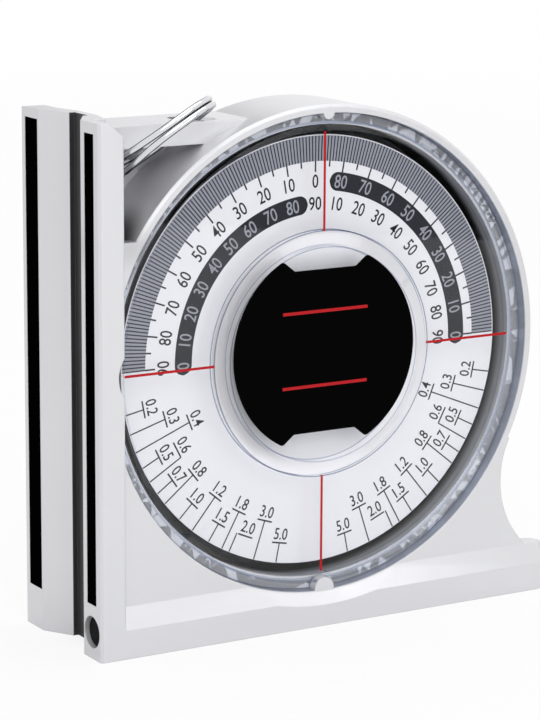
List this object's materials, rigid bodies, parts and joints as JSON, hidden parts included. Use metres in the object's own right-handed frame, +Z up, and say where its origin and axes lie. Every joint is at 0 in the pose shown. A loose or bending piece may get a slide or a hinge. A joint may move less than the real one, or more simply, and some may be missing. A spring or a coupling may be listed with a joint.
{
  "type": "inclinometer",
  "caption": "Square-framed inclinometer with a weighted dial in a round drum, a grooved side rail, edge magnets and a split ring.",
  "frame": {"origin": "middle of the flat measuring face under the base", "axes": "+Z up along the grooved rail, +X along the base towards its rounded toe, +Y from the dial side to the back"},
  "size_m": [0.1, 0.0365, 0.1045],
  "materials": {
    "casting": "satin",
    "clear_lens": "clear moulded acrylic",
    "gasket_rubber": "matte silicone",
    "red_fill": "gloss",
    "black_label": "matte",
    "dial_print": "printed film",
    "dial_metal": "rolled",
    "brass": "turned",
    "steel": "plain",
    "strip_magnet": "matte bonded ferrite",
    "plug_magnet": "sintered",
    "chrome_wire": "polished"
  },
  "bodies": {
    "housing": {"frame": "casting", "lens": "clear_lens", "lens_gasket": "gasket_rubber", "hairlines": "red_fill", "label_plate": "black_label", "front_bearing": "brass", "bearing_screw": "brass", "rear_bearing": "steel", "bearing_nut": "brass", "end_magnet": "plug_magnet", "rail_front_magnet": "strip_magnet", "rail_front_keeper": "steel", "rail_rear_magnet": "strip_magnet", "rail_rear_keeper": "steel", "base_front_magnet": "strip_magnet", "base_front_keeper": "steel", "base_rear_magnet": "strip_magnet", "base_rear_keeper": "steel"},
    "dial": {"dial_face": "dial_print", "dial_plate": "dial_metal", "dial_hub": "brass", "pivot_axle": "steel", "counterweight": "brass", "weight_rivets": "steel"},
    "ring": {"split_ring": "chrome_wire"}
  },
  "joints": [
    {"name": "dial_turn", "type": "hinge", "parent": "housing", "child": "dial", "pos_m": [-0.001, 0, 0.053], "axis": [0, 1, 0], "continuous": true},
    {"name": "ring_swing", "type": "hinge", "parent": "housing", "child": "ring", "pos_m": [-0.02662, -0.00294, 0.09668], "axis": [-0.561, 0.5626, -0.6073], "range_deg": [-18, 2]}
  ]
}
